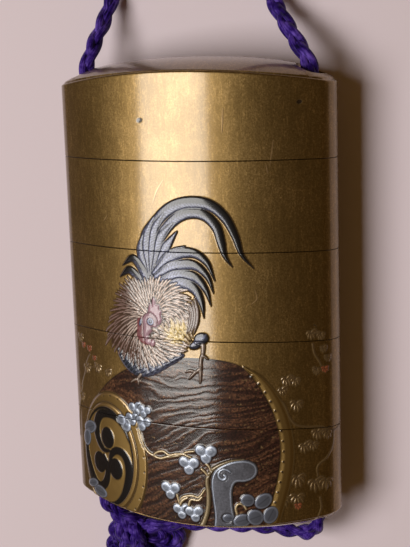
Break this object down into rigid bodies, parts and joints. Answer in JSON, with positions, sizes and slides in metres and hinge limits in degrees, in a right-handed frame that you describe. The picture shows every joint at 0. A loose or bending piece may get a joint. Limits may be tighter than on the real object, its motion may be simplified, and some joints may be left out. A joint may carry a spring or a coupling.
{
  "type": "inro case",
  "caption": "Flat oval lacquered case of stacked compartments with a domed lid, strung on one silk cord that is tied in a bow below.",
  "frame": {"origin": "on the surface that the case lies on, under the middle of the case without its cord", "axes": "+X to the right of the picture side, +Y towards the lid, +Z out of the picture side; the case lies on its back"},
  "size_m": [0.0559, 0.2213, 0.0202],
  "materials": {
    "gold_lacquer": "gold powder under clear lacquer on wood, satin to glossy",
    "silk_cord": "plaited purple silk"
  },
  "bodies": {
    "root": {"lid": "gold_lacquer", "case_1": "gold_lacquer", "case_2": "gold_lacquer", "case_3": "gold_lacquer", "case_4": "gold_lacquer", "cord": "silk_cord", "bow_knot": "silk_cord"}
  },
  "joints": []
}
